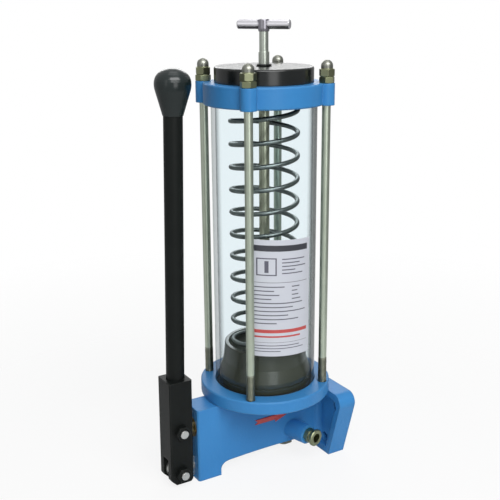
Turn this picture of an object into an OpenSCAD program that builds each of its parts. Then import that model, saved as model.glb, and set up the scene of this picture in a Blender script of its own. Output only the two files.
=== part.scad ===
// Hand-lever grease pump: a clear reservoir with a spring-loaded follower stands on a cast base,
// and an upright lever works a plunger that pushes the grease past a check valve to the outlet.
// Sizes are in millimetres. In the modules Z is the reservoir's axis with z = 0 on the ground,
// the lever is on -X, the mounting flange on +X and the outlet on -Y.

/* [Reservoir] */
// Outer diameter of the clear tube
tube_d = 100; // [96:1:120]
// Wall of the clear tube
tube_wall = 4; // [3:0.5:6]
// Height between the base ring and the top ring
tube_span = 275.5; // [200:0.5:350]
// Depth that the tube seats in each ring
tube_seat = 6; // [4:0.5:8]
// Gap around the tube in its seats
seat_gap = 0.25; // [0.1:0.05:0.5]
// Thickness of the flat gaskets at the tube's ends
gasket_t = 2; // [1:0.5:3]
// How far the gaskets stand in from the tube's inside
gasket_lip = 1; // [0.5:0.25:2]
// Height of the top ring
top_ring_h = 20; // [17:0.5:28]
// Width of the top ring outside the tube
top_ring_wall = 7; // [5:0.5:9]
// Radius of the ears that the tie rods pass through
ear_r = 7.5; // [6:0.5:9]

/* [Tie rods] */
// Diameter of the tie rods
rod_d = 8; // [6:0.5:9]
// Distance from the tube's outside to a rod's axis
rod_offset = 9; // [8:0.5:12]
// Angle of the first tie rod from +X
rod_angle = 45; // [30:1:60]
// Gap around a rod in the top ring
rod_gap = 0.3; // [0.1:0.05:0.5]
// Gap around a screwed thread
thread_gap = 0.1; // [0.05:0.05:0.2]
// Depth that a rod screws into the base ring
rod_grip = 11; // [8:0.5:12]
// Width of the relief around a rod's foot
rod_relief_w = 0.5; // [0.4:0.1:1.5]
// Depth of the relief around a rod's foot
rod_relief_h = 3; // [2:0.5:5]
// Width across flats of the rod nuts
rod_nut_af = 13; // [11:0.5:15]
// Corner chamfer of the rod nuts
nut_edge = 1.3; // [0.6:0.1:1.8]
// Height of the lower hex nut
rod_nut_h = 6; // [4:0.5:8]
// Height of the dome nut's hexagon
dome_hex_h = 7; // [5:0.5:9]
// Turn of the dome nuts against the lower nuts
dome_turn = 20; // [0:1:59]
// Radius of the dome nut's dome
dome_r = 5.5; // [5:0.25:6.25]
// Height of the dome nut's dome
dome_h = 8; // [7:0.5:10]
// Length of rod that reaches into the dome
rod_in_dome = 2; // [1:0.25:3]

/* [Cap and stem] */
// Height of the cap above the top ring
cap_h = 14.5; // [10:0.5:20]
// Width of the cap's rim that rests on the top ring
cap_rim = 6.5; // [4:0.5:8]
// How far the cap's edge stands in from the tube's outside
cap_inset = 3.5; // [2:0.5:6]
// Depth of the cap's screwed spigot
cap_spigot = 10; // [6:0.5:11]
// Thickness of the cap's crown over the spring
cap_crown = 14; // [8:0.5:16]
// Radius of the cap's upper edge
cap_edge = 2; // [1:0.25:4]
// Diameter of the stem
stem_d = 10; // [8:0.5:12]
// Diameter of the stem's slimmer top
stem_top_d = 8.5; // [6:0.5:9]
// Length of the stem's slimmer top
stem_top_h = 24.5; // [14:0.5:28]
// Diameter of the stem's screwed foot
stem_foot_d = 8; // [6:0.5:9]
// Diameter of the stem's collar on the follower
stem_collar_d = 18; // [14:0.5:22]
// Height of the stem's collar on the follower
stem_collar_h = 4; // [2:0.5:6]
// Height of the T-bar's axis over the cap
bar_rise = 37.4; // [30:0.5:60]
// Length of the T-bar
bar_len = 50; // [40:1:80]
// Diameter of the T-bar
bar_d = 8.8; // [7:0.2:10]
// Turn of the T-bar about the stem
bar_turn = -48; // [-90:1:90]
// Diameter of the hub in the middle of the T-bar
bar_hub_d = 11; // [10:0.5:14]
// How far the hub reaches below the T-bar
bar_hub_drop = 2; // [1:0.25:4]
// Diameter of the stem's spigot in the T-bar
bar_spigot_d = 5; // [3:0.5:6]
// Depth that the stem's top sinks into the T-bar
bar_sink = 0.5; // [0.2:0.1:1]
// Wall of the bush in the cap
bush_wall = 1.25; // [1:0.25:3]
// Width of the bush's flange
bush_flange = 1; // [0.75:0.25:3]
// Height of the bush's flange over the cap
bush_flange_h = 2; // [1.5:0.5:5]

/* [Follower and spring] */
// Gap between the follower and the tube
follower_gap = 0.3; // [0.2:0.05:0.6]
// Height of the follower's straight skirt
skirt_h = 11.5; // [9:0.5:24]
// Height of the slope between the follower's skirt and its collar
shoulder_h = 12; // [3:0.5:15]
// Height of the follower's collar
collar_h = 17.5; // [10:0.5:26]
// Taper of the follower's collar
collar_draft = 1.7; // [0.5:0.1:3]
// Thickness of the follower's floor
follower_floor = 8; // [5:0.5:12]
// Wall of the follower at its rim
cup_wall = 3.6; // [2:0.2:5]
// Depth of the groove around the follower's skirt
groove_depth = 1.2; // [0.5:0.1:2]
// Height of the nut under the follower
follower_nut_h = 6.5; // [5:0.5:8]
// Thickness of the follower's seal
seal_t = 3.7; // [2:0.1:5]
// Diameter of the hole in the follower's seal
seal_hole_d = 20; // [17:0.5:30]
// Gap between the seal and the reservoir's floor
seal_lift = 0.3; // [0.1:0.1:1]
// Gap between the seal and the tube
seal_lip_gap = 0.05; // [0.02:0.01:0.1]
// Mean diameter of the follower spring
spring_d = 63.5; // [50:0.5:67]
// Wire of the follower spring
spring_wire = 4.5; // [2.5:0.25:5]
// Turns of the follower spring, closed ends included
spring_turns = 14.6; // [10:0.1:18]
// Turn of the follower spring's lower end
spring_start = 60; // [0:1:360]
// Gap between the spring and the cup
cup_gap = 2.6; // [1:0.1:4]

/* [Base casting] */
// Height of the base ring's top over the ground
base_h = 89; // [82:0.5:110]
// Thickness of the base ring
base_ring_t = 13; // [12:0.5:18]
// Width of the base ring outside the rods' axes
base_edge = 6; // [6:0.5:9]
// Width across the fulcrum block
block_w = 28; // [26:0.5:36]
// Length of the fulcrum block
block_len = 25; // [22:0.5:32]
// How far the fulcrum block stands out of the base ring
block_out = 20; // [18:0.5:26]
// Chamfer of the fulcrum block's outer edges
block_chamfer = 1.5; // [0.5:0.25:3]
// Height of the body's underside over the ground
body_lift = 13.5; // [12:0.5:20]
// Depth of the hollow that waists each side of the body
waist = 2.5; // [0.5:0.25:3.5]
// Radius of the fillets under the body's ends
body_fillet = 8; // [4:0.5:10]
// Radius of the upright fillets between the body and the flange
side_fillet = 6; // [3:0.5:8]
// Thickness of the mounting flange
flange_t = 19; // [14:0.5:24]
// How far the mounting flange stands out of the base ring
flange_out = 8.5; // [6:0.5:14]
// Height of the mounting flange
flange_h = 72; // [66:0.5:76]
// Width of the mounting flange at its top
flange_top_w = 118; // [110:1:126]
// Width of the mounting flange at its foot
flange_foot_w = 75; // [70:1:90]
// Corner radius of the mounting flange
flange_corner = 10; // [6:0.5:14]
// Width of the rim around the flange's pocket
flange_rim = 7; // [4:0.5:10]
// Depth of the flange's pocket
flange_pocket = 4; // [2:0.5:6]
// Corner radius of the flange's pocket
pocket_corner = 6; // [4:0.5:8]
// Diameter of the mounting holes
mount_hole_d = 9; // [7:0.5:11]
// Distance between the upper mounting holes
mount_upper = 88; // [80:1:94]
// Distance between the lower mounting holes
mount_lower = 50; // [46:1:54]
// Distance of the mounting holes from the flange's top and foot
mount_edge = 15; // [13:0.5:20]
// Depth of the sump under the reservoir
sump_depth = 9; // [7:0.5:10]
// Radius of the sump's floor
sump_r = 12; // [10:0.5:14]
// Width of the ledge between the sump and the tube
sump_ledge = 3; // [2:0.5:6]
// Wall of the bowl around the sump
bowl_wall = 8; // [6:0.5:9]
// Diameter of the inlet port under the sump
inlet_d = 10; // [6:0.5:12]

/* [Lever] */
// Distance from the fulcrum block to the lever's pivot
pivot_out = 17; // [15.5:0.1:20]
// Height of the lever's pivot over the ground
pivot_z = 14; // [13:0.5:20]
// Distance from the pivot bolt to the yoke bolt
arm = 44.3; // [38:0.1:50]
// Lean of the lever towards the reservoir at rest
lever_lean = 0.45; // [0:0.05:1.8]
// Swing of the lever away from the reservoir
lever_swing = 32; // [20:1:34]
// Depth of the socket's section along X
socket_depth = 24; // [22:0.5:28]
// Width of the socket's section along Y
socket_w = 25; // [22:0.5:30]
// Reach of the socket below the pivot
socket_below = 11; // [10:0.5:13]
// Reach of the socket above the pivot
socket_above = 96; // [90:0.5:120]
// Chamfer of the socket's foot on the lever's outer side
foot_cut_outer = 5.5; // [2:0.5:7]
// Chamfer of the socket's foot towards the fulcrum block
foot_cut_inner = 3; // [2:0.5:7]
// Corner chamfer of the socket
socket_chamfer = 1; // [0.5:0.1:2]
// Wall left at the back of the socket's slot
socket_back = 3; // [2:0.25:4]
// Height over the pivot where the back wall starts
back_start = 14; // [11:0.5:20]
// Height of the slot over the yoke bolt
slot_over = 19; // [16:0.5:22]
// Diameter of the lever rod
lever_rod_d = 17.5; // [12:0.5:18]
// Depth that the lever rod seats in the socket
lever_rod_seat = 26; // [18:0.5:28]
// Further lean of the rod in its socket
rod_set = 1; // [0:0.1:1.5]
// Length of the lever rod from its seat to the knob
lever_rod_len = 275.8; // [180:0.1:350]
// Diameter of the knob's neck
knob_neck_d = 18.5; // [18.5:0.5:22]
// Diameter of the knob
knob_d = 33; // [26:0.5:40]
// Height from the knob's neck to its widest place
knob_swell_h = 27.5; // [22:0.5:34]
// Radius that rounds the knob's cone into its crown
knob_round = 20; // [16:0.5:21]
// Height of the knob's crown
knob_crown_h = 14; // [10:0.5:18]
// How full the knob's crown is, where 1 is a round arc and less is squarer
knob_fullness = 0.92; // [0.7:0.01:1]
// Diameter of the rod's spigot in the knob
knob_spigot_d = 10; // [8:0.5:12]
// Length of the rod's spigot in the knob
knob_spigot_len = 20; // [12:0.5:26]
// Diameter of the lever bolts
bolt_d = 8; // [6:0.5:9]
// Width across flats of the bolt heads and nuts
bolt_af = 13; // [11:0.5:15]
// Height of a bolt head and of a lever nut
bolt_head_h = 5; // [3:0.5:7]
// Length of bolt that shows past its nut
bolt_tail = 2; // [1:0.5:4]

/* [Plunger and gland] */
// Diameter of the plunger
plunger_d = 14; // [12:0.5:15]
// Radial clearance of a running fit
run_gap = 0.05; // [0.01:0.01:0.1]
// Thickness of the plunger's tongue and of the fulcrum eye
tongue_t = 10; // [8:0.5:11]
// Gap on each side of a tongue in the socket's slot
tongue_gap = 0.3; // [0.2:0.05:0.5]
// Play of the yoke bolt along the plunger
yoke_play = 0.6; // [0.55:0.05:0.8]
// Wall around the yoke slot
yoke_wall = 2.6; // [2:0.1:3]
// Length of the plunger's flats from the yoke bolt
flats_len = 18.5; // [18:0.5:22]
// Reach of the plunger past the reservoir's axis
plunger_reach = 14; // [10:0.5:16]
// Length of the barrel past the plunger
barrel_over = 18; // [14:0.5:22]
// Wall of the gland packing and gland nut
gland_wall = 3.8; // [3:0.1:4]
// Length of the gland nut
gland_nut_len = 8; // [6:0.5:10]
// Depth of the gland nut's face in the block
gland_recess = 0.4; // [0:0.1:1]
// Length of the gland packing
packing_len = 6; // [4:0.5:10]
// Radius of the fulcrum eye
eye_r = 10; // [9:0.25:10.5]
// Diameter of the fulcrum eye's shank
eye_shank_d = 12; // [8:0.5:14]
// Length of the fulcrum eye's shank
eye_shank_len = 17; // [12:0.5:20]

/* [Outlet and check valve] */
// Place of the valve along X from the reservoir's axis
outlet_x = 22.7; // [20:0.1:26]
// Height of the outlet over the ground
outlet_z = 27.5; // [26:0.5:30]
// Turn of the outlet from -Y towards the flange
outlet_yaw = 15; // [0:1:20]
// Distance from the valve to the outlet boss's face
outlet_reach = 33.5; // [28:0.5:38]
// Radius of the outlet boss
outlet_boss_r = 10; // [9:0.25:11]
// Diameter of the adaptor's screwed shank
adaptor_shank_d = 11.8; // [10:0.2:14]
// Length of the adaptor's screwed shank
adaptor_grip = 11; // [8:0.5:13]
// Width across flats of the adaptor's hexagon
adaptor_af = 13; // [12:0.5:16]
// Length of the adaptor's hexagon
adaptor_hex_len = 5.5; // [4:0.5:12]
// Diameter of the neck between the adaptor's hexagon and collar
adaptor_neck_d = 12; // [11.5:0.5:14]
// Length of the adaptor's neck
adaptor_neck_len = 3; // [2:0.5:6]
// Diameter of the adaptor's collar
adaptor_collar_d = 17.4; // [14:0.2:20]
// Length of the adaptor's collar
adaptor_collar_len = 3.5; // [2.5:0.5:12]
// Diameter of the adaptor's mouth
adaptor_mouth_d = 9.5; // [6:0.5:10]
// Depth of the adaptor's mouth
adaptor_mouth_len = 8; // [6:0.5:12]
// Diameter of the grease passages
passage_d = 5; // [4:0.5:6]
// Diameter of the check ball
ball_d = 8; // [7:0.25:9]
// Gap around the check ball in its chamber
ball_gap = 1.2; // [0.8:0.1:1.6]
// Height of the check valve's seat over the ground
seat_z = 42; // [41:0.25:44]
// Gap between the resting ball and its seat
seat_clear = 0.1; // [0.05:0.05:0.3]
// Wire of the check spring
check_wire = 0.9; // [0.6:0.1:1.2]
// Mean diameter of the check spring
check_spring_d = 6; // [5:0.1:7]
// Turns of the check spring
check_turns = 5; // [4:0.5:7]
// Diameter of the valve plug's thread
plug_d = 14; // [12:0.5:16]
// Depth of the valve plug's thread
plug_grip = 8; // [6:0.5:10]
// Width across flats of the valve plug's head
plug_af = 17; // [14:0.5:19]
// Height of the valve plug's head
plug_head_h = 5; // [4:0.5:8]

/* [Hidden] */
$fn = 64;
eps = 0.01;
tube_r = tube_d / 2;
tube_ir = tube_r - tube_wall;
rod_r = rod_d / 2;
rod_ring_r = tube_r + rod_offset;
base_r = rod_ring_r + base_edge;
seat_r = tube_r + seat_gap;

ring_z = base_h - base_ring_t;
floor_z = base_h - tube_seat - gasket_t;
tube_z0 = floor_z + gasket_t;
top_z0 = base_h + tube_span;
tube_z1 = top_z0 + tube_seat;
step_z = tube_z1 + gasket_t;
top_z1 = top_z0 + top_ring_h;

cap_r = tube_r - cap_inset;
cap_thread_r = cap_r - cap_rim;
cap_z1 = top_z1 + cap_h;
spring_seat_z = cap_z1 - cap_crown;
bar_z = cap_z1 + bar_rise;
hub_z = bar_z - bar_d / 2 - bar_hub_drop;
stem_r = stem_d / 2;
bush_r = stem_r + run_gap + bush_wall;

seal_z = tube_z0 + seal_lift;
plate_z = seal_z + seal_t;
cup_z = plate_z + follower_floor;
skirt_z = plate_z + skirt_h;
rim_z = skirt_z + shoulder_h + collar_h;
follower_r = tube_ir - follower_gap;
cup_r = (spring_d + spring_wire) / 2 + cup_gap;
rim_r = cup_r + cup_wall;

block_x = base_r + block_out;
flange_x = base_r + flange_out;
sump_z = floor_z - sump_depth;

pivot_x = block_x + pivot_out;
pin_x = pivot_x - arm * sin(lever_lean);
barrel_z = pivot_z + arm * (cos(lever_lean) + cos(lever_swing - lever_lean)) / 2;
pin_drop = arm * (cos(lever_lean) - cos(lever_swing - lever_lean));
slot_w = tongue_t + 2 * tongue_gap;
bolt_r = bolt_d / 2;
yoke_r = bolt_r + yoke_play;
plunger_r = plunger_d / 2;
gland_r = plunger_r + run_gap + gland_wall;

ball_r = ball_d / 2;
passage_r = passage_d / 2;
chamber_r = ball_r + ball_gap;
ball_z = seat_z - seat_clear - sqrt(ball_r * ball_r - passage_r * passage_r);
plug_z = body_lift + plug_grip;

// The ground point under the middle of the whole pump is the origin
foot_edge = socket_below - foot_cut_outer;
lever_back = pivot_x + socket_depth / 2 * cos(lever_lean) + foot_edge * sin(lever_lean);
axis_x = (lever_back - flange_x) / 2;

// Ring turned about Z, with small chamfers on its outer edges
module turned_ring(r_in, r_out, z0, z1, edge = 0.6) {
    rotate_extrude()
        polygon([[r_in, z0], [r_out - edge, z0], [r_out, z0 + edge],
                 [r_out, z1 - edge], [r_out - edge, z1], [r_in, z1]]);
}

// Cylinder along +X from x0 to x1
module bar_x(r, x0, x1) {
    translate([x0, 0, 0]) rotate([0, 90, 0]) cylinder(r = r, h = x1 - x0);
}

// Cylinder along Y, centred on y = 0
module bar_y(r, len) {
    rotate([90, 0, 0]) cylinder(r = r, h = len, center = true);
}

// Hexagon of a nut or bolt head, standing on z = 0 with chamfered corners
module hexagon(af, h, edge = 0.8) {
    corner = af / sqrt(3);
    intersection() {
        cylinder(r = corner, h = h, $fn = 6);
        rotate_extrude()
            polygon([[0, 0], [corner - edge, 0], [corner, edge * 0.6],
                     [corner, h - edge * 0.6], [corner - edge, h], [0, h]]);
    }
}

// Places a child at each tie rod
module at_rods() {
    for (i = [0 : 3]) rotate([0, 0, rod_angle + 90 * i]) translate([rod_ring_r, 0, 0])
        rotate([0, 0, 30]) children();
}

// Places a child at the outlet, with its +Z along the way out
module at_outlet() {
    translate([outlet_x, 0, outlet_z]) rotate([0, 0, outlet_yaw]) rotate([90, 0, 0]) children();
}

// Places a child on the lever, with the pivot at its origin and +Z up the lever
module on_lever() {
    translate([-pivot_x, 0, pivot_z]) rotate([0, lever_lean, 0]) children();
}

// Places a child of the lever on the rod, with the rod's foot at its origin
module on_rod() {
    translate([0, 0, socket_above - lever_rod_seat]) rotate([0, rod_set, 0]) children();
}

// Round wire wound to a spring of given height with one closed turn at each end
module coil(mean_r, wire_r, h, turns, sides, steps) {
    count = ceil(turns * steps);
    rise = h - 2 * wire_r;
    end_rise = 2.1 * wire_r;
    pitch = (rise - 2 * end_rise) / (turns - 2);
    function level(t) = t < 1 ? end_rise * t
        : t > turns - 1 ? rise - end_rise * (turns - t)
        : end_rise + pitch * (t - 1);
    points = [for (i = [0 : count], k = [0 : sides - 1])
        let (t = turns * i / count, a = 360 * t, b = 360 * k / sides, r = mean_r + wire_r * cos(b))
        [r * cos(a), r * sin(a), wire_r + level(t) + wire_r * sin(b)]];
    walls = [for (i = [0 : count - 1], k = [0 : sides - 1])
        let (j = (k + 1) % sides)
        [i * sides + k, (i + 1) * sides + k, (i + 1) * sides + j, i * sides + j]];
    first = [for (k = [0 : sides - 1]) k];
    last = [for (k = [0 : sides - 1]) (count + 1) * sides - 1 - k];
    polyhedron(points, concat(walls, [first, last]), convexity = 10);
}

// Flange plate from its inner to its outer face, drawn in by inset all round
module flange_plate(x0, x1, inset, corner) {
    h = flange_h;
    foot = flange_foot_w / 2;
    flare = flange_top_w / 2 - foot;
    side = sqrt(h * h + flare * flare);
    function edge_y(z, in) = foot + (flare * z - in * side) / h;
    arc_z = h - inset - corner;
    arc_y = edge_y(arc_z, inset + corner);
    tangent = [arc_y + corner * h / side, arc_z - corner * flare / side];
    outline = [[edge_y(inset, inset), inset], tangent, [arc_y, h - inset]];
    mirrored = [for (i = [2 : -1 : 0]) [-outline[i][0], outline[i][1]]];
    translate([x0, 0, 0]) rotate([90, 0, 90]) {
        linear_extrude(x1 - x0) polygon(concat(outline, mirrored));
        for (s = [-1, 1]) translate([s * arc_y, arc_z, 0]) cylinder(r = corner, h = x1 - x0);
    }
}

// Body of the casting between the fulcrum block and the flange, waisted on both sides
module body_web() {
    x0 = -block_x + block_len - 1;
    x1 = flange_x - flange_t + 1;
    mid = (x0 + x1) / 2;
    span = x1 - x0;
    hollow_r = (span * span / 4 + waist * waist) / (2 * waist);
    difference() {
        translate([x0, -block_w / 2, body_lift]) cube([span, block_w, ring_z - body_lift + 1]);
        for (s = [-1, 1]) translate([mid, s * (block_w / 2 - waist + hollow_r), 0])
            cylinder(r = hollow_r, h = ring_z + 2, $fn = 180);
    }
}

// Block that carries the gland and the fulcrum eye, chamfered at its outer edges
module fulcrum_block() {
    hw = block_w / 2;
    c = block_chamfer;
    translate([-block_x, 0, 0]) linear_extrude(ring_z)
        polygon([[0, -hw + c], [c, -hw], [block_len, -hw], [block_len, hw], [c, hw], [0, hw - c]]);
}

// Upright fillets between the body's sides and the flange
module side_fillets(x) {
    r = side_fillet;
    for (s = [-1, 1]) translate([x - r, s * block_w / 2, body_lift]) difference() {
        translate([0, s > 0 ? -1 : -r, 0]) cube([r + 1, r + 1, flange_h - body_lift]);
        translate([0, s * r, -1]) cylinder(r = r, h = flange_h);
    }
}

// Fillet along Y under the body, with its corner at the origin and filling towards side * X
module foot_fillet(side) {
    w = block_w - 0.5;
    difference() {
        translate([side > 0 ? -1 : -body_fillet, -w / 2, -body_fillet])
            cube([body_fillet + 1, w, body_fillet + 1]);
        translate([side * body_fillet, 0, -body_fillet]) bar_y(body_fillet, w + 2);
    }
}

// Bowl under the base ring that holds the sump
module sump_bowl() {
    rotate_extrude()
        polygon([[0, sump_z - bowl_wall], [sump_r + bowl_wall, sump_z - bowl_wall],
                 [tube_ir + 2, ring_z + 1], [0, ring_z + 1]]);
}

// One-piece base: ring, sump bowl, body, fulcrum block, mounting flange and outlet boss
module base_casting() {
    inner_x = flange_x - flange_t;
    color([0.13, 0.36, 0.66]) difference() {
        union() {
            turned_ring(0, base_r, ring_z, base_h, 1);
            sump_bowl();
            body_web();
            fulcrum_block();
            translate([-block_x + block_len, 0, body_lift]) foot_fillet(1);
            translate([inner_x, 0, body_lift]) foot_fillet(-1);
            side_fillets(inner_x + flange_pocket);
            difference() {
                flange_plate(inner_x, flange_x, 0, flange_corner);
                difference() {
                    flange_plate(inner_x - 1, inner_x + flange_pocket, flange_rim, pocket_corner);
                    translate([inner_x - 2, -block_w / 2, 0]) cube([flange_t, block_w, ring_z]);
                }
            }
            at_outlet() cylinder(r = outlet_boss_r, h = outlet_reach);
        }
        translate([0, 0, floor_z]) cylinder(r = seat_r, h = base_h);
        rotate_extrude()
            polygon([[0, sump_z], [sump_r, sump_z], [tube_ir - sump_ledge, floor_z + eps],
                     [0, floor_z + eps]]);
        translate([0, 0, barrel_z]) cylinder(r = inlet_d / 2, h = sump_z - barrel_z + 1);
        at_rods() {
            translate([0, 0, base_h - rod_grip - 0.5]) cylinder(r = rod_r + thread_gap, h = rod_grip + 1);
            translate([0, 0, base_h - rod_relief_h])
                cylinder(r = rod_r + rod_relief_w, h = rod_relief_h + 1);
        }
        translate([0, 0, barrel_z]) {
            bar_x(plunger_r + run_gap, -block_x - 1, plunger_reach + barrel_over);
            bar_x(gland_r + thread_gap, -block_x - 1, -block_x + gland_nut_len + packing_len);
        }
        translate([0, 0, pivot_z])
            bar_x(eye_shank_d / 2 + thread_gap, -block_x - 1, -block_x + eye_shank_len + 0.5);
        translate([outlet_x, 0, 0]) {
            translate([0, 0, seat_z - 1]) cylinder(r = passage_r, h = barrel_z - seat_z + 1);
            translate([0, 0, body_lift]) cylinder(r = chamber_r, h = seat_z - body_lift);
            translate([0, 0, body_lift - 1])
                cylinder(r = plug_d / 2 + thread_gap, h = plug_grip + 1);
        }
        at_outlet() {
            cylinder(r = passage_r, h = outlet_reach);
            translate([0, 0, outlet_reach - adaptor_grip - 0.5])
                cylinder(r = adaptor_shank_d / 2 + thread_gap, h = adaptor_grip + 2);
        }
        mount_holes(inner_x);
    }
}

// Four holes through the mounting flange
module mount_holes(x0) {
    for (s = [-1, 1]) {
        translate([0, s * mount_upper / 2, flange_h - mount_edge])
            bar_x(mount_hole_d / 2, x0 - 1, flange_x + 1);
        translate([0, s * mount_lower / 2, mount_edge]) bar_x(mount_hole_d / 2, x0 - 1, flange_x + 1);
    }
}

// Steel eye screwed into the block, on which the lever turns
module fulcrum_eye() {
    color([0.75, 0.76, 0.72]) translate([0, 0, pivot_z]) difference() {
        union() {
            translate([-pivot_x, 0, 0]) bar_y(eye_r, tongue_t);
            translate([-pivot_x, -tongue_t / 2, -eye_r]) cube([pivot_out, tongue_t, 2 * eye_r]);
            bar_x(eye_shank_d / 2, -block_x - 1, -block_x + eye_shank_len);
        }
        translate([-pivot_x, 0, 0]) bar_y(bolt_r + run_gap, tongue_t + 2);
    }
}

// Screwed ring that holds the packing around the plunger, with two spanner holes
module gland_nut() {
    color([0.72, 0.6, 0.32]) translate([0, 0, barrel_z]) difference() {
        bar_x(gland_r, -block_x + gland_recess, -block_x + gland_nut_len);
        bar_x(plunger_r + 3 * run_gap, -block_x - 1, -block_x + gland_nut_len + 1);
        for (s = [-1, 1]) translate([0, s * (gland_r - gland_wall / 2), 0])
            bar_x(gland_wall / 4, -block_x, -block_x + gland_nut_len / 2);
    }
}

// Soft packing ring around the plunger
module gland_packing() {
    color([0.2, 0.2, 0.2]) translate([0, 0, barrel_z]) difference() {
        bar_x(gland_r, -block_x + gland_nut_len, -block_x + gland_nut_len + packing_len);
        bar_x(plunger_r + run_gap, -block_x, -block_x + gland_nut_len + packing_len + 1);
    }
}

// Round plunger with a flat-sided end and a yoke slot for the lever's bolt
module plunger() {
    lift = pin_drop / 2 + 0.4;
    color([0.78, 0.79, 0.8]) translate([-pin_x, 0, barrel_z]) difference() {
        union() {
            bar_x(plunger_r, flats_len, pin_x + plunger_reach);
            intersection() {
                bar_x(plunger_r, 0, flats_len);
                translate([-1, -tongue_t / 2, -plunger_r]) cube([flats_len + 1, tongue_t, plunger_d]);
            }
            for (s = [-1, 1]) translate([0, 0, s * lift]) bar_y(yoke_r + yoke_wall, tongue_t);
            translate([-yoke_r - yoke_wall, -tongue_t / 2, -lift])
                cube([2 * (yoke_r + yoke_wall), tongue_t, 2 * lift]);
        }
        for (s = [-1, 1]) translate([0, 0, s * lift]) bar_y(yoke_r, tongue_t + 2);
        translate([-yoke_r, -tongue_t / 2 - 1, -lift]) cube([2 * yoke_r, tongue_t + 2, 2 * lift]);
    }
}

// Square forged socket with a slot for the eye and the plunger's tongue
module lever_socket() {
    hx = socket_depth / 2;
    hy = socket_w / 2;
    c = socket_chamfer;
    low = -socket_below;
    color([0.1, 0.11, 0.11]) on_lever() difference() {
        translate([0, 0, low]) linear_extrude(socket_below + socket_above)
            polygon([[-hx + c, -hy], [hx - c, -hy], [hx, -hy + c], [hx, hy - c],
                     [hx - c, hy], [-hx + c, hy], [-hx, hy - c], [-hx, -hy + c]]);
        translate([-hx - 1, -slot_w / 2, low - 1]) cube([2 * hx + 2, slot_w, back_start - low + 1]);
        translate([-hx + socket_back, -slot_w / 2, 0]) cube([2 * hx, slot_w, arm + slot_over]);
        on_rod() cylinder(r = lever_rod_d / 2 + run_gap, h = lever_rod_seat + 2);
        for (z = [0, arm]) translate([0, 0, z]) bar_y(bolt_r + run_gap, 2 * hy + 2);
        translate([0, hy + 1, 0]) rotate([90, 0, 0]) linear_extrude(2 * hy + 2) {
            translate([-hx, low])
                polygon([[-1, -1], [foot_cut_outer + 1, -1], [-1, foot_cut_outer + 1]]);
            translate([hx, low])
                polygon([[1, -1], [1, foot_cut_inner + 1], [-foot_cut_inner - 1, -1]]);
        }
    }
}

// Two bolts through the socket's cheeks: the pivot below and the yoke bolt above
module lever_bolts(z) {
    half = socket_w / 2;
    color([0.8, 0.81, 0.78]) on_lever() translate([0, 0, z]) rotate([90, 0, 0]) {
        translate([0, 0, -half - bolt_head_h]) hexagon(bolt_af, bolt_head_h);
        translate([0, 0, -half - eps]) cylinder(r = bolt_r, h = 2 * half + bolt_head_h + bolt_tail);
    }
}

module pivot_bolt() { lever_bolts(0); }

module yoke_bolt() { lever_bolts(arm); }

// Dark nuts on both lever bolts
module lever_nuts() {
    half = socket_w / 2;
    color([0.14, 0.15, 0.14]) on_lever() for (z = [0, arm]) translate([0, -half, z]) rotate([90, 0, 0])
        difference() {
            hexagon(bolt_af, bolt_head_h);
            translate([0, 0, -1]) cylinder(r = bolt_r + thread_gap, h = bolt_head_h + 2);
        }
}

// Round bar of the lever with a spigot for the knob
module lever_rod() {
    color([0.1, 0.11, 0.11]) on_lever() on_rod() {
        cylinder(r = lever_rod_d / 2, h = lever_rod_len);
        translate([0, 0, lever_rod_len - eps]) cylinder(r = knob_spigot_d / 2, h = knob_spigot_len);
    }
}

// Pear-shaped knob on the lever's end
module lever_knob() {
    inset = knob_d / 2 - knob_round;
    side = knob_neck_d / 2 - inset;
    touch = atan2(-knob_swell_h, side) + acos(knob_round / norm([side, knob_swell_h]));
    swell = [for (i = [0 : 4]) let (a = touch * (1 - i / 4))
        [inset + knob_round * cos(a), knob_swell_h + knob_round * sin(a)]];
    crown = [for (i = [1 : 10]) let (a = 90 * i / 10)
        [knob_d / 2 * pow(max(0, cos(a)), knob_fullness),
         knob_swell_h + knob_crown_h * pow(sin(a), knob_fullness)]];
    color([0.1, 0.11, 0.11]) on_lever() on_rod() translate([0, 0, lever_rod_len]) difference() {
        rotate_extrude() polygon(concat([[0, 0], [knob_neck_d / 2, 0]], swell, crown));
        translate([0, 0, -1]) cylinder(r = knob_spigot_d / 2 + run_gap, h = knob_spigot_len + 1.5);
    }
}

// Clear tube of the reservoir
module reservoir_tube() {
    color([0.85, 0.9, 0.92, 0.35]) translate([0, 0, tube_z0]) difference() {
        cylinder(r = tube_r, h = tube_z1 - tube_z0, $fn = 96);
        translate([0, 0, -1]) cylinder(r = tube_ir, h = tube_z1 - tube_z0 + 2, $fn = 96);
    }
}

// Flat gasket at an end of the tube
module tube_gasket(z) {
    color([0.12, 0.12, 0.12]) translate([0, 0, z]) difference() {
        cylinder(r = tube_r, h = gasket_t);
        translate([0, 0, -1]) cylinder(r = tube_ir - gasket_lip, h = gasket_t + 2);
    }
}

module lower_gasket() { tube_gasket(floor_z); }

module upper_gasket() { tube_gasket(tube_z1); }

// Cast ring that clamps the tube, with an ear for each tie rod
module top_ring() {
    color([0.13, 0.36, 0.66]) difference() {
        union() {
            turned_ring(0, tube_r + top_ring_wall, top_z0, top_z1, 1);
            at_rods() translate([0, 0, top_z0]) cylinder(r = ear_r, h = top_ring_h);
        }
        translate([0, 0, top_z0 - 1]) cylinder(r = seat_r, h = step_z - top_z0 + 1);
        translate([0, 0, top_z0]) cylinder(r = cap_thread_r + thread_gap, h = top_ring_h + 1);
        at_rods() translate([0, 0, top_z0 - 1]) cylinder(r = rod_r + rod_gap, h = top_ring_h + 2);
    }
}

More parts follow.
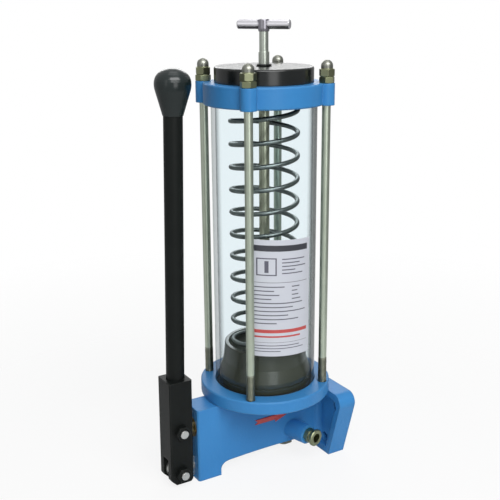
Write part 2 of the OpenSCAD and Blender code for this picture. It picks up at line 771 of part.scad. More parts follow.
// Four plain tie rods between the base ring and the nuts
module tie_rod(i) {
    color([0.62, 0.62, 0.5]) rotate([0, 0, rod_angle + 90 * i])
        translate([rod_ring_r, 0, base_h - rod_grip])
        cylinder(r = rod_r, h = rod_grip + tube_span + top_ring_h + rod_nut_h + dome_hex_h + rod_in_dome);
}

module tie_rod_rear_right() { tie_rod(0); }

module tie_rod_rear_left() { tie_rod(1); }

module tie_rod_front_left() { tie_rod(2); }

module tie_rod_front_right() { tie_rod(3); }

// Hex nuts that clamp the top ring
module rod_nuts() {
    color([0.62, 0.62, 0.5]) at_rods() translate([0, 0, top_z1]) difference() {
        hexagon(rod_nut_af, rod_nut_h, nut_edge);
        translate([0, 0, -1]) cylinder(r = rod_r + thread_gap, h = rod_nut_h + 2);
    }
}

// Dome nuts that close the rods' upper ends
module dome_nuts() {
    color([0.62, 0.62, 0.5]) at_rods() translate([0, 0, top_z1 + rod_nut_h]) difference() {
        union() {
            rotate([0, 0, dome_turn]) hexagon(rod_nut_af, dome_hex_h, nut_edge);
            translate([0, 0, dome_hex_h - eps]) cylinder(r = dome_r, h = dome_h - dome_r + eps);
            translate([0, 0, dome_hex_h + dome_h - dome_r]) sphere(r = dome_r);
        }
        translate([0, 0, -1]) cylinder(r = rod_r + thread_gap, h = dome_hex_h + rod_in_dome + 1.5);
    }
}

// Moulded cap screwed into the top ring; the spring bears on its underside
module top_cap() {
    edge = cap_edge;
    spigot_z = top_z1 - cap_spigot;
    fillet = [for (i = [0 : 6]) let (a = 90 * i / 6)
        [cap_r - edge + edge * cos(a), cap_z1 - edge + edge * sin(a)]];
    color([0.09, 0.1, 0.1]) difference() {
        rotate_extrude($fn = 96)
            polygon(concat([[bush_r + 0.05, spigot_z], [cap_thread_r, spigot_z], [cap_thread_r, top_z1],
                            [cap_r, top_z1]], fillet, [[bush_r + 0.05, cap_z1]]));
        translate([0, 0, spigot_z - 1]) cylinder(r = cup_r, h = spring_seat_z - spigot_z + 1);
    }
}

// Flanged bush that guides the stem through the cap
module stem_bush() {
    color([0.1, 0.11, 0.11]) difference() {
        union() {
            translate([0, 0, spring_seat_z]) cylinder(r = bush_r, h = cap_crown);
            turned_ring(0, bush_r + bush_flange, cap_z1, cap_z1 + bush_flange_h, 0.8);
        }
        translate([0, 0, spring_seat_z - 1])
            cylinder(r = stem_r + run_gap, h = cap_crown + bush_flange_h + 2);
    }
}

// Stem that lifts the follower, with a collar over its floor and a screwed foot
module follower_stem() {
    slim_z = bar_z - stem_top_h;
    foot_z = plate_z - follower_nut_h - 1.5;
    color([0.75, 0.77, 0.74]) {
        translate([0, 0, foot_z]) cylinder(r = stem_foot_d / 2, h = cup_z + 1 - foot_z);
        translate([0, 0, cup_z]) cylinder(r = stem_collar_d / 2, h = stem_collar_h);
        translate([0, 0, cup_z + 1]) cylinder(r = stem_r, h = slim_z - cup_z - 1);
        translate([0, 0, slim_z - eps])
            cylinder(r = stem_top_d / 2, h = hub_z - slim_z + bar_sink + eps);
        translate([0, 0, hub_z]) cylinder(r = bar_spigot_d / 2, h = bar_z - hub_z);
    }
}

// Cross bar on top of the stem
module t_bar() {
    edge = 0.8;
    r = bar_d / 2;
    hub_r = bar_hub_d / 2;
    hub_foot_r = (hub_r + stem_top_d / 2) / 2;
    color([0.8, 0.8, 0.84]) difference() {
        union() {
            translate([0, 0, bar_z]) rotate([0, 0, bar_turn]) rotate([0, 90, 0])
                translate([0, 0, -bar_len / 2]) rotate_extrude()
                    polygon([[0, 0], [r - edge, 0], [r, edge], [r, bar_len - edge],
                             [r - edge, bar_len], [0, bar_len]]);
            rotate_extrude()
                polygon([[0, hub_z], [hub_foot_r, hub_z], [hub_r, bar_z - r + 0.5],
                         [hub_r, bar_z + r - 0.4], [hub_r - 0.6, bar_z + r + 0.2], [0, bar_z + r + 0.2]]);
        }
        translate([0, 0, hub_z - 1]) cylinder(r = stem_top_d / 2 + run_gap, h = 1 + bar_sink + run_gap);
        translate([0, 0, hub_z]) cylinder(r = bar_spigot_d / 2 + run_gap, h = bar_z - hub_z + 0.2);
    }
}

// Cup-shaped follower with a straight skirt, one groove and a tapered collar
module follower_plate() {
    groove_z = plate_z + skirt_h * 0.6;
    groove_r = follower_r - groove_depth;
    color([0.22, 0.23, 0.19]) difference() {
        rotate_extrude($fn = 96)
            polygon([[0, plate_z], [follower_r - 1, plate_z], [follower_r, plate_z + 1],
                     [follower_r, groove_z - 1], [groove_r, groove_z - 0.6],
                     [groove_r, groove_z + 0.6], [follower_r, groove_z + 1], [follower_r, skirt_z],
                     [rim_r + collar_draft, skirt_z + shoulder_h], [rim_r, rim_z - 0.6],
                     [rim_r - 0.6, rim_z], [0, rim_z]]);
        translate([0, 0, cup_z]) cylinder(r = cup_r, h = rim_z);
        translate([0, 0, plate_z - 1]) cylinder(r = stem_foot_d / 2 + run_gap, h = follower_floor + 2);
    }
}

// Rubber lip seal bonded under the follower
module follower_seal() {
    lip_r = tube_ir - seal_lip_gap;
    hole_r = seal_hole_d / 2;
    color([0.08, 0.08, 0.08]) rotate_extrude($fn = 96)
        polygon([[hole_r, seal_z + 1], [lip_r - 4, seal_z + 1], [lip_r - 1.5, seal_z], [lip_r, seal_z],
                 [lip_r, plate_z - 1], [lip_r - 1, plate_z], [hole_r, plate_z]]);
}

// Nut that holds the follower on the stem
module follower_nut() {
    color([0.7, 0.7, 0.66]) translate([0, 0, plate_z - follower_nut_h]) difference() {
        hexagon(rod_nut_af, follower_nut_h);
        translate([0, 0, -1]) cylinder(r = stem_foot_d / 2 + run_gap, h = follower_nut_h + 2);
    }
}

// Spring between the cap and the follower
module follower_spring() {
    color([0.3, 0.33, 0.32]) translate([0, 0, cup_z]) rotate([0, 0, spring_start])
        coil(spring_d / 2, spring_wire / 2, spring_seat_z - cup_z, spring_turns, 8, 28);
}

// Plated adaptor screwed into the outlet boss: hexagon, collar and open mouth
module outlet_adaptor() {
    hex_end = outlet_reach + adaptor_hex_len;
    neck_end = hex_end + adaptor_neck_len;
    mouth = neck_end + adaptor_collar_len;
    color([0.72, 0.66, 0.44]) at_outlet() difference() {
        union() {
            translate([0, 0, outlet_reach - adaptor_grip])
                cylinder(r = adaptor_shank_d / 2, h = adaptor_grip + 1);
            translate([0, 0, outlet_reach]) hexagon(adaptor_af, adaptor_hex_len, 0.9);
            translate([0, 0, hex_end - 1]) cylinder(r = adaptor_neck_d / 2, h = adaptor_neck_len + 2);
            turned_ring(0, adaptor_collar_d / 2, neck_end, mouth, 0.8);
        }
        translate([0, 0, outlet_reach - adaptor_grip - 1]) cylinder(r = passage_r, h = mouth);
        translate([0, 0, mouth - adaptor_mouth_len])
            cylinder(r = adaptor_mouth_d / 2, h = adaptor_mouth_len + 1);
    }
}

// Ball that lets grease out of the barrel and not back
module check_ball() {
    color([0.8, 0.8, 0.82]) translate([outlet_x, 0, ball_z]) sphere(r = ball_r);
}

// Spring that holds the ball up to its seat
module check_spring() {
    ring_r = check_spring_d / 2;
    rest = sqrt(ball_r * ball_r - pow(ring_r - check_wire / 2, 2));
    color([0.6, 0.6, 0.6]) translate([outlet_x, 0, plug_z])
        coil(ring_r, check_wire / 2, ball_z - rest - plug_z, check_turns, 6, 20);
}

// Screwed plug that closes the valve chamber from below
module valve_plug() {
    color([0.66, 0.66, 0.55]) translate([outlet_x, 0, body_lift]) {
        translate([0, 0, -plug_head_h]) hexagon(plug_af, plug_head_h);
        translate([0, 0, -eps]) cylinder(r = plug_d / 2, h = plug_grip + eps);
    }
}

translate([axis_x, 0, 0]) {
    base_casting();
    fulcrum_eye();
    gland_nut();
    gland_packing();
    plunger();
    lever_socket();
    pivot_bolt();
    yoke_bolt();
    lever_nuts();
    lever_rod();
    lever_knob();
    reservoir_tube();
    lower_gasket();
    upper_gasket();
    top_ring();
    tie_rod_rear_right();
    tie_rod_rear_left();
    tie_rod_front_left();
    tie_rod_front_right();
    rod_nuts();
    dome_nuts();
    top_cap();
    stem_bush();
    follower_stem();
    t_bar();
    follower_plate();
    follower_seal();
    follower_nut();
    follower_spring();
    outlet_adaptor();
    check_ball();
    check_spring();
    valve_plug();
}
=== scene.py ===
"""Looks of a hand-lever grease pump: enamelled base, clear reservoir, plated rods, black lever.

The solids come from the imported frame. This script gives each of them its finish and adds the flow
arrow, the rods' threads, the label and the wound springs. Lengths are in metres.
"""

import math

import bmesh
import bpy
from mathutils import Matrix, Vector


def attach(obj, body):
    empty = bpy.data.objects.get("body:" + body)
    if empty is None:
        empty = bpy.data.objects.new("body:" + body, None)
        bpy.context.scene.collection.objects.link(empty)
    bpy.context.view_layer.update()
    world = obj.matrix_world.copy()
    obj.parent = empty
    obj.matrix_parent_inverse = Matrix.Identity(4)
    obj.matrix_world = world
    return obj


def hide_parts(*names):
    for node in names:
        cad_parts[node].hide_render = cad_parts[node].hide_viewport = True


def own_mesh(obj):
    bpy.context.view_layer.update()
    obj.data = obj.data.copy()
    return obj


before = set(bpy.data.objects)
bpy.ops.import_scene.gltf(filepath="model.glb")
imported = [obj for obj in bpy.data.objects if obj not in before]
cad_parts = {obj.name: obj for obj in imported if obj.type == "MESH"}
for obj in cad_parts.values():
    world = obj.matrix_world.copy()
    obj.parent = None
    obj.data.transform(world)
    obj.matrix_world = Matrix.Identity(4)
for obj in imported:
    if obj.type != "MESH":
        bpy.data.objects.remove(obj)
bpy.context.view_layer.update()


# Base casting and top ring: two iron castings, fettled at their seams and stove-enamelled in a
# bright blue. The enamel has a faint orange peel over the sand-cast skin, and is painted paler
# along its edges as a painted highlight.
class Wire:
    """An output socket of a node tree; sums and products with it add Math nodes to that tree."""

    def __init__(self, tree, socket=None):
        self.tree, self.socket = tree, socket

    def node(self, kind, settings=None, sockets=None, out=0):
        """Adds a node, makes its settings, sets or links its sockets, and returns one output."""
        made = self.tree.nodes.new(kind)
        for key, value in (settings or {}).items():
            setattr(made, key, value)
        for key, value in (sockets or {}).items():
            if isinstance(value, Wire):
                self.tree.links.new(value.socket, made.inputs[key])
            else:
                made.inputs[key].default_value = value
        return Wire(self.tree, made.outputs[out]) if len(made.outputs) else None

    def math(self, operation, first, second=0.0):
        return self.node("ShaderNodeMath", {"operation": operation}, {0: first, 1: second})

    def vector(self, operation, first, second=(0, 0, 0), out="Vector"):
        settings = {"operation": operation}
        return self.node("ShaderNodeVectorMath", settings, {0: first, 1: second}, out)

    def dot(self, first, second):
        return self.vector("DOT_PRODUCT", first, second, "Value")

    def __add__(self, other):
        return self.math("ADD", self, other)

    def __sub__(self, other):
        return self.math("SUBTRACT", self, other)

    def __rsub__(self, other):
        return self.math("SUBTRACT", other, self)

    def __mul__(self, other):
        return self.math("MULTIPLY", self, other)

    def __truediv__(self, other):
        return self.math("DIVIDE", self, other)

    def __pow__(self, other):
        return self.math("POWER", self, other)

    def held(self, low=0.0, high=1.0):
        return self.node("ShaderNodeClamp", None, {"Value": self, "Min": low, "Max": high})

    __radd__, __rmul__ = __add__, __mul__


def new_finish(name):
    """A material with an empty node tree, and the wire that adds nodes to it."""
    material = bpy.data.materials.new(name)
    material.use_nodes = True
    material.node_tree.nodes.clear()
    return material, Wire(material.node_tree)


def show(paint, sockets):
    """Ends a finish in one Principled shader with those sockets."""
    shader = paint.node("ShaderNodeBsdfPrincipled", None, sockets)
    paint.node("ShaderNodeOutputMaterial", None, {"Surface": shader})


def noise(paint, scale, detail=2.0, stretch=(1, 1, 1)):
    """Noise on the piece's own coordinates, with scale in grains per metre."""
    place = paint.node("ShaderNodeTexCoord", out="Object")
    place = paint.node("ShaderNodeMapping", None, {"Vector": place, "Scale": stretch})
    sockets = {"Vector": place, "Scale": scale, "Detail": detail}
    return paint.node("ShaderNodeTexNoise", None, sockets)


def tint(paint, share, first, second):
    """Mixes two colours, or wires of colour, by a share."""
    first, second = (c if isinstance(c, Wire) else (*c, 1) for c in (first, second))
    sockets = {0: share, 6: first, 7: second}
    return paint.node("ShaderNodeMix", {"data_type": "RGBA"}, sockets, out=2)


def bump(paint, strength, distance, sockets):
    """A normal that follows a height."""
    return paint.node("ShaderNodeBump", None, {
        "Strength": strength, "Distance": distance, **sockets})


def soft_edge(paint, radius, gain):
    """A normal that is rounded over sharp edges, and a mask that is 1 along them."""
    rounded = paint.node("ShaderNodeBevel", {"samples": 4}, {"Radius": radius})
    flat = paint.node("ShaderNodeNewGeometry", out="Normal")
    return rounded, ((1 - paint.dot(rounded, flat)) * gain).held()


def dress(material, *nodes):
    """Gives CAD nodes their finish."""
    for name in nodes:
        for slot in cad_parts[name].material_slots:
            slot.material = material


blue_enamel, paint = new_finish("blue_enamel")
rounded, edge = soft_edge(paint, 0.0016, 5.0)
cloud = noise(paint, 22.0, 3.0)
peel = noise(paint, 330.0, 1.0)
skin = noise(paint, 1100.0, 2.0)
blue = tint(paint, cloud, (0.033, 0.188, 0.455), (0.051, 0.254, 0.570))
# Painted highlight: the blue is made paler along sharp edges.
blue = tint(paint, edge * (0.25 + 0.5 * cloud), blue, (0.110, 0.320, 0.600))
wavy = bump(paint, 0.30, 0.0005, {"Height": peel + 0.25 * skin, "Normal": rounded})
show(paint, {"Base Color": blue, "Roughness": 0.28 + 0.18 * skin, "Normal": wavy,
             "Specular IOR Level": 0.24})
dress(blue_enamel, "base_casting", "top_ring")

# Flow arrow: a raised pad cast on the front wall of the pump body under the base ring, picked out
# by hand in red. It points along the body to the outlet.
AXIS = 0.020271
ARROW_Z, ARROW_RISE, ARROW_SUNK, ARROW_ROUND = 0.0454, 0.0009, 0.0006, 0.0004
ARROW_OUTLINE = [
    (-0.0195, 0.0026), (-0.0160, 0.0), (-0.0195, -0.0026), (0.0050, -0.0026),
    (0.0050, -0.0052), (0.0185, 0.0), (0.0050, 0.0052), (0.0050, 0.0026)]
WAIST_MID, WAIST_R, WAIST_Y = -0.00275, 0.67986, -0.0115


def body_wall(x):
    """How far out the hollow front wall of the pump body is at x from the reservoir's axis."""
    return WAIST_Y - WAIST_R + math.sqrt(WAIST_R ** 2 - (x - WAIST_MID) ** 2)


def as_mesh(form, name):
    """A mesh of that name from a finished form, which is freed."""
    mesh = bpy.data.meshes.new(name)
    form.to_mesh(mesh)
    form.free()
    return mesh


def add_piece(name, mesh, body, *finishes):
    """An object for a finished mesh, which moves with a body of the frame."""
    for finish in finishes:
        mesh.materials.append(finish)
    piece = bpy.data.objects.new(name, mesh)
    bpy.context.scene.collection.objects.link(piece)
    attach(piece, body)
    return piece


form = bmesh.new()
face = form.faces.new([form.verts.new((x, 0, z)) for x, z in ARROW_OUTLINE])
pad = bmesh.ops.extrude_face_region(form, geom=[face])["geom"]
for v in pad:
    if isinstance(v, bmesh.types.BMVert):
        v.co.y = ARROW_RISE + ARROW_SUNK
crown = [e for e in form.edges if all(v.co.y > ARROW_RISE for v in e.verts)]
bmesh.ops.bevel(
    form, geom=crown, offset=ARROW_ROUND, segments=3, profile=0.6, affect="EDGES")
bmesh.ops.triangulate(form, faces=form.faces)
for v in form.verts:
    x, rise, z = v.co
    v.co = (AXIS + x, body_wall(x) + ARROW_SUNK - rise, ARROW_Z + z)
bmesh.ops.recalc_face_normals(form, faces=form.faces)
arrow_mesh = as_mesh(form, "flow_arrow")

red_paint, paint = new_finish("red_paint")
brush = noise(paint, 260.0, 3.0, (0.25, 1, 1))
red = tint(paint, brush, (0.42, 0.030, 0.028), (0.62, 0.075, 0.060))
show(paint, {"Base Color": red, "Roughness": 0.30 + 0.20 * brush, "Coat Weight": 0.2})
add_piece("flow_arrow", arrow_mesh, "base", red_paint)


# Fulcrum eye, lever bolts and follower nut: turned or forged steel parts, bright zinc plated, with
# the fine cross marks of the tool still under the plate.
def plated(name, light, dark, rough, spread, marks=(1, 1, 6), depth=0.00004, edges=0.3,
           stain_and_shade=None):
    """A metal with cloudy plate, tool marks, painted edge highlights and, if given, a stain or
    painted shade over them.
    """
    material, paint = new_finish(name)
    rounded, edge = soft_edge(paint, 0.0005, 4.0)
    cloud = noise(paint, 70.0, 3.0)
    tooled = noise(paint, 900.0, 2.0, marks)
    metal = tint(paint, cloud, dark, light)
    # Painted highlight: the metal is made paler along sharp edges.
    metal = tint(paint, edge * edges, metal, [min(1.0, 1.5 * c) for c in light])
    if stain_and_shade:
        metal = stain_and_shade(paint, metal)
    scored = bump(paint, 0.5, depth, {"Height": tooled, "Normal": rounded})
    show(paint, {"Base Color": metal, "Metallic": 1.0, "Roughness": rough + spread * tooled,
                 "Normal": scored})
    return material


zinc_steel = plated("zinc_steel", (0.70, 0.71, 0.68), (0.52, 0.53, 0.51), 0.22, 0.20)
dress(zinc_steel, "fulcrum_eye", "pivot_bolt", "yoke_bolt", "follower_nut")

# Plunger, stem and check ball: ground steel, with marks that run round them. Inside the reservoir
# the stem has a film of old grease.
CAP_FOOT = 0.385


def stained_and_shaded(level, fade, share, colour):
    """A stain or painted shade that sets in over a fade under a level, or over it where the fade is
    negative.
    """
    def stain_and_shade(paint, metal):
        place = paint.node("ShaderNodeTexCoord", out="Object")
        height = paint.node("ShaderNodeSeparateXYZ", None, {0: place}, "Z")
        return tint(paint, share * ((level - height) / fade).held(), metal, colour)
    return stain_and_shade


ground_steel = plated(
    "ground_steel", (0.60, 0.64, 0.58), (0.45, 0.49, 0.43), 0.20, 0.18, (1, 1, 9),
    stain_and_shade=stained_and_shaded(CAP_FOOT, 0.004, 0.75, (0.47, 0.46, 0.31)))
dress(ground_steel, "plunger", "follower_stem", "check_ball")

# Gland nut: a turned brass ring, browned by oil, screwed over the packing in the fulcrum block. The
# marks of its turning run round it.
turned_brass = plated(
    "turned_brass", (0.42, 0.31, 0.14), (0.24, 0.18, 0.08), 0.28, 0.20, (6, 1, 1))
dress(turned_brass, "gland_nut")

# Gland packing, tube gaskets and follower seal: black nitrile rubber, matt from its mould, with a
# bloom of pale dust in patches.
nitrile, paint = new_finish("nitrile")
bloom = noise(paint, 120.0, 3.0)
pores = noise(paint, 2200.0, 1.0)
rubber = tint(paint, bloom, (0.010, 0.010, 0.011), (0.028, 0.029, 0.030))
show(paint, {"Base Color": rubber, "Roughness": 0.55 + 0.25 * bloom,
             "Normal": bump(paint, 0.3, 0.0001, {"Height": pores})})
dress(nitrile, "gland_packing", "lower_gasket", "upper_gasket", "follower_seal")

# Lever: a square forged socket, a round bar and dark nuts, brushed with satin black paint that
# wears to grey along the corners.
black_paint, paint = new_finish("black_paint")
rounded, edge = soft_edge(paint, 0.0009, 5.0)
patch = noise(paint, 45.0, 3.0)
grit = noise(paint, 1300.0, 2.0)
black = tint(paint, patch, (0.0050, 0.0062, 0.0058), (0.0095, 0.0114, 0.0106))
black = tint(paint, edge * (0.9 * patch), black, (0.060, 0.064, 0.062))
rough_coat = bump(paint, 0.35, 0.00012, {"Height": grit, "Normal": rounded})
show(paint, {"Base Color": black, "Roughness": 0.34 + 0.18 * grit, "Normal": rough_coat,
             "Specular IOR Level": 0.14})
dress(black_paint, "lever_socket", "lever_rod", "lever_nuts")


# Knob, cap and stem bush: moulded black phenolic, glossy from the tool, with faint flow marks in
# the gloss. The knob's black is greener than the cap's.
def moulded(name, dark, light, gloss):
    """Black phenolic with flow marks, in two shades."""
    material, paint = new_finish(name)
    flow = noise(paint, 60.0, 4.0, (1, 1, 2.5))
    haze = noise(paint, 700.0, 1.0)
    show(paint, {"Base Color": tint(paint, flow, dark, light), "Roughness": 0.15 + 0.12 * haze,
                 "Normal": bump(paint, 0.15, 0.0002, {"Height": flow}),
                 "Specular IOR Level": gloss})
    return material


phenolic = moulded("phenolic", (0.0055, 0.0068, 0.0066), (0.0095, 0.0110, 0.0106), 0.55)
dress(phenolic, "top_cap", "stem_bush")
rubbed_phenolic = moulded(
    "rubbed_phenolic", (0.0050, 0.0105, 0.0105), (0.0080, 0.0150, 0.0150), 0.52)
dress(rubbed_phenolic, "lever_knob")

# Reservoir tube: clear acrylic, extruded and cut to length, held between the rings by the tie rods.
# Its skins show grey only where they are seen along their length, and a painted shade darkens
# the outer skin on the side towards the outlet.
SKINS_SPLIT, SHADED_SIDE_WAY = 0.0475, (0.85, -0.52, 0)
SHADE_FROM, EDGE_FROM = 0.88, 0.45


def off_axis(paint):
    """A point's level offset from the reservoir's axis, and the length of that offset."""
    place = paint.node("ShaderNodeTexCoord", out="Object")
    spoke = paint.vector("MULTIPLY", paint.vector("SUBTRACT", place, (AXIS, 0, 0)), (1, 1, 0))
    return spoke, paint.vector("LENGTH", spoke, out="Value")


clear_tube, paint = new_finish("clear_tube")
slant = paint.node("ShaderNodeLayerWeight", None, {"Blend": 0.5}, "Facing")
handled = noise(paint, 35.0, 3.0)
spoke, reach = off_axis(paint)
outside = ((reach - SKINS_SPLIT) / 0.001).held()
# Painted shade: on the outer skin's side towards the outlet more dark wall is mixed in, most where
# the skin is seen edge-on.
painted_side_shade = ((paint.dot(spoke, SHADED_SIDE_WAY) / reach - SHADE_FROM) / 0.06).held() * outside
rim = ((slant - EDGE_FROM) / 0.12).held()
line = ((slant - EDGE_FROM) / 0.55).held() ** 2.5
wall = paint.node("ShaderNodeBsdfPrincipled", None, {
    "Base Color": tint(paint, handled, (0.06, 0.068, 0.066), (0.10, 0.112, 0.108)),
    "Roughness": 0.04 + 0.06 * handled, "IOR": 1.49})
clear = paint.node("ShaderNodeBsdfTransparent", None, {"Color": (0.952, 0.979, 0.988, 1)})
solid = 0.010 + outside * rim * 0.22 + (0.8 - 0.5 * outside) * line + painted_side_shade * (0.05 + 0.36 * rim)
paint.node("ShaderNodeOutputMaterial", None, {
    "Surface": paint.node("ShaderNodeMixShader", None, {0: solid, 1: clear, 2: wall})})
dress(clear_tube, "reservoir_tube")

# Label: a printed vinyl sheet stuck round the front of the tube, with plain fields, rules and bars.
# One closed skin is cut along the edges of its print, so that each field has its own ink. Its back
# lies just inside the tube's outer face, where light reaches it through the tube. The back is
# painted far paler than the face, as painted light shining through the vinyl.
LABEL_FROM, LABEL_TO = math.radians(222.0), math.radians(295.5)
LABEL_LOW, LABEL_HIGH, LABEL_DROP = 0.1297, 0.2447, 0.0039
LABEL_IN, LABEL_OUT = 0.04992, 0.05016
LABEL_COLUMNS, LABEL_ROWS = 36, 10
PAPER, SLATE, GREY, RED, BACK = range(5)


def rules(left, low, high, step, runs):
    """Rows of grey print of those lengths, one under the other."""
    return [(left, left + run, low - step * i, high - step * i, GREY)
            for i, run in enumerate(runs)]


PRINT = [
    (0.06, 0.94, 0.905, 0.955, SLATE), (0.10, 0.40, 0.700, 0.850, GREY),
    (0.12, 0.38, 0.710, 0.840, PAPER), (0.22, 0.28, 0.725, 0.825, GREY),
    (0.06, 0.94, 0.640, 0.644, GREY), (0.06, 0.94, 0.205, 0.235, RED),
    (0.06, 0.80, 0.165, 0.180, RED), (0.06, 0.94, 0.120, 0.123, GREY)]
PRINT += rules(0.48, 0.835, 0.844, 0.03, (0.40, 0.30, 0.42, 0.22, 0.36))
PRINT += rules(0.06, 0.600, 0.609, 0.035,
               (0.46, 0.30, 0.38, 0.26, 0.78, 0.60, 0.84, 0.52, 0.70, 0.34))
PRINT += rules(0.64, 0.600, 0.609, 0.035, (0.14, 0.10, 0.12, 0.16))
PRINT += rules(0.06, 0.090, 0.097, 0.025, (0.72, 0.80, 0.40))

across = {i / LABEL_COLUMNS for i in range(LABEL_COLUMNS + 1)}
across = sorted(across.union(*(field[0:2] for field in PRINT)))
upward = {i / LABEL_ROWS for i in range(LABEL_ROWS + 1)}
upward = sorted(upward.union(*(field[2:4] for field in PRINT)))
form = bmesh.new()


def label_skin(radius):
    """Rows of points, from the foot up, of one skin of the label."""
    rows = []
    for v in upward:
        rows.append([])
        for u in across:
            a = LABEL_FROM + (LABEL_TO - LABEL_FROM) * u
            level = LABEL_LOW + (LABEL_HIGH - LABEL_LOW) * v + LABEL_DROP * (0.5 - u)
            place = (AXIS + radius * math.cos(a), radius * math.sin(a), level)
            rows[-1].append(form.verts.new(place))
    return rows


outer, inner = label_skin(LABEL_OUT), label_skin(LABEL_IN)
for i in range(len(upward) - 1):
    for k in range(len(across) - 1):
        corners = (i, k), (i, k + 1), (i + 1, k + 1), (i + 1, k)
        printed = form.faces.new([outer[row][column] for row, column in corners])
        stuck = form.faces.new([inner[row][column] for row, column in reversed(corners)])
        stuck.material_index = BACK
        u, v = (across[k] + across[k + 1]) / 2, (upward[i] + upward[i + 1]) / 2
        for left, right, low, high, ink in PRINT:
            if left < u < right and low < v < high:
                printed.material_index = ink
for i in range(len(upward) - 1):
    for k in (0, -1):
        form.faces.new((outer[i][k], outer[i + 1][k], inner[i + 1][k], inner[i][k]))
for k in range(len(across) - 1):
    for i in (0, -1):
        form.faces.new((outer[i][k], outer[i][k + 1], inner[i][k + 1], inner[i][k]))
bmesh.ops.recalc_face_normals(form, faces=form.faces)
label_mesh = as_mesh(form, "reservoir_label")


def printed_vinyl(name, light, dark):
    """Ink or bare vinyl with a fine screen and a little dirt."""
    material, paint = new_finish(name)
    screen = noise(paint, 1500.0, 1.0)
    soil = noise(paint, 40.0, 3.0)
    shade = tint(paint, (0.6 * soil + 0.4 * screen).held(), light, dark)
    show(paint, {"Base Color": shade, "Roughness": 0.36 + 0.15 * soil})
    return material


add_piece("reservoir_label", label_mesh, "base",
          printed_vinyl("vinyl_white", (0.62, 0.64, 0.70), (0.53, 0.55, 0.61)),
          printed_vinyl("ink_slate", (0.050, 0.052, 0.065), (0.028, 0.030, 0.038)),
          printed_vinyl("ink_grey", (0.13, 0.13, 0.17), (0.08, 0.08, 0.11)),
          printed_vinyl("ink_red", (0.58, 0.10, 0.09), (0.44, 0.05, 0.05)),
          # Painted light: the back is much paler than the face vinyl.
          printed_vinyl("vinyl_back_painted_light", (0.92, 0.92, 0.92), (0.88, 0.88, 0.88)))

# Tie rods, their nuts and the outlet adaptor: drawn or turned steel with a thin yellowish
# passivated zinc plate. The domes are worn to a greyer plate, and the rods' threaded feet are
# darkened as a painted shade for the grooves between the thread ridges.
DOME_FOOT, THREAD_TOP = 0.3975, 0.1150
yellow_zinc = plated(
    "yellow_zinc", (0.34, 0.37, 0.225), (0.165, 0.180, 0.104), 0.24, 0.20, (1, 1, 4))
dress(yellow_zinc, "rod_nuts", "outlet_adaptor")
domed_zinc = plated(
    "domed_zinc", (0.34, 0.36, 0.225), (0.165, 0.175, 0.104), 0.24, 0.20, (1, 1, 4),
    stain_and_shade=stained_and_shaded(DOME_FOOT, -0.001, 0.85, (0.28, 0.285, 0.26)))
dress(domed_zinc, "dome_nuts")
# Painted shade: the rods are darkened below the thread top, for the shade in the thread grooves.
pale_zinc = plated(
    "pale_zinc", (0.58, 0.65, 0.54), (0.46, 0.52, 0.42), 0.24, 0.20, (1, 1, 4),
    stain_and_shade=stained_and_shaded(THREAD_TOP, 0.002, 0.85, (0.12, 0.125, 0.095)))
dress(pale_zinc, "tie_rod_rear_right", "tie_rod_rear_left", "tie_rod_front_left",
      "tie_rod_front_right")

# Rod threads: the rods' feet are threaded for about 29 mm from inside the base ring. One ridge is
# wound along a helix and set at each of the four rods. The valve plug has the same dark plate.
ROD_RING, ROD_R, ROD_COUNT, ROD_TURN = 0.059, 0.004, 4, math.radians(45)
THREAD_FROM, THREAD_PITCH = 0.0862, 0.00125
RIDGE_R, RIDGE_SUNK, RIDGE_SIDES, RIDGE_STEPS = 0.00042, 0.0001, 3, 18


def helix(field, steps, radius, rise, turns, end_rise, start):
    """A wound path: closed by end_rise in its first and last turn, and even between them."""
    line = field.node("GeometryNodeCurvePrimitiveLine")
    line = field.node("GeometryNodeResampleCurve", None, {"Curve": line, "Count": steps})
    turn = field.node("GeometryNodeSplineParameter", out="Factor") * turns
    pitch = (rise - 2 * end_rise) / (turns - 2)
    level = end_rise * turn.held() + pitch * (turn - 1).held(0, turns - 2)
    level = level + end_rise * (turn - turns + 1).held()
    angle = turn * math.tau + start
    path = field.node("ShaderNodeCombineXYZ", None, {
        "X": radius * field.math("COSINE", angle), "Y": radius * field.math("SINE", angle),
        "Z": level})
    return field.node("GeometryNodeSetPosition", None, {"Geometry": line, "Position": path})


